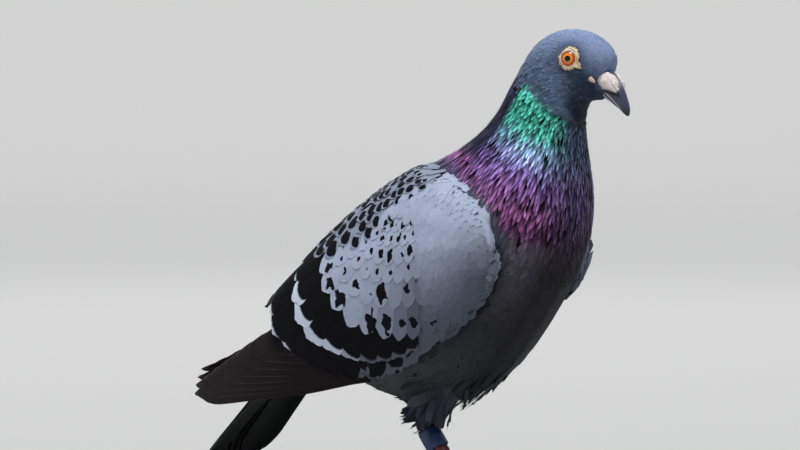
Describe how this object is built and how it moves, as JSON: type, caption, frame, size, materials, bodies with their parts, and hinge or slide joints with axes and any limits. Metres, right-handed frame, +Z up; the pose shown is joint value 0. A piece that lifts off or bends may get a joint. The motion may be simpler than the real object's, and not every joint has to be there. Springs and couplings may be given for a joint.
{
  "type": "pigeon",
  "caption": "Life-size standing pigeon with folded chequered wings, an iridescent neck, a drooping tail and a plain ring on one leg.",
  "frame": {"origin": "on the floor, under the middle of the whole bird's box", "axes": "+X towards the bill, +Y to the bird's left, +Z up"},
  "size_m": [0.2566, 0.1036, 0.224],
  "materials": {
    "plumage_blue_grey": "soft blue-grey feathers with a faint sheen",
    "plumage_iridescent": "pointed feathers that shine green and purple",
    "plumage_dark": "dark slate feathers",
    "plumage_chequered": "pale blue-grey coverts with black marks",
    "flight_feathers": "stiff brown-black feathers with a faint gloss",
    "bill_horn": "smooth dark horn",
    "claw_horn": "smooth black horn",
    "cere_skin": "powdery pinkish-white bare skin",
    "eye_wet": "wet, clear and glossy",
    "leg_scales": "dark red scaly skin",
    "ring_plastic": "moulded blue plastic"
  },
  "bodies": {
    "root": {"head": "plumage_blue_grey", "neck": "plumage_iridescent", "chest": "plumage_iridescent", "belly": "plumage_dark", "rump": "plumage_blue_grey", "eye_right": "eye_wet", "cere_right": "cere_skin", "wing_scapulars_right": "plumage_chequered", "wing_coverts_right": "plumage_chequered", "wing_secondaries_right": "flight_feathers", "wing_primaries_right": "flight_feathers", "thigh_right": "plumage_dark", "tarsus_right": "leg_scales", "toe_middle_right": "leg_scales", "claw_middle_right": "claw_horn", "toe_inner_right": "leg_scales", "claw_inner_right": "claw_horn", "toe_outer_right": "leg_scales", "claw_outer_right": "claw_horn", "toe_hind_right": "leg_scales", "claw_hind_right": "claw_horn", "eye_left": "eye_wet", "cere_left": "cere_skin", "wing_scapulars_left": "plumage_chequered", "wing_coverts_left": "plumage_chequered", "wing_secondaries_left": "flight_feathers", "wing_primaries_left": "flight_feathers", "thigh_left": "plumage_dark", "tarsus_left": "leg_scales", "toe_middle_left": "leg_scales", "claw_middle_left": "claw_horn", "toe_inner_left": "leg_scales", "claw_inner_left": "claw_horn", "toe_outer_left": "leg_scales", "claw_outer_left": "claw_horn", "toe_hind_left": "leg_scales", "claw_hind_left": "claw_horn", "bill_upper": "bill_horn", "bill_lower": "bill_horn", "tail": "flight_feathers", "leg_band": "ring_plastic"}
  },
  "joints": []
}
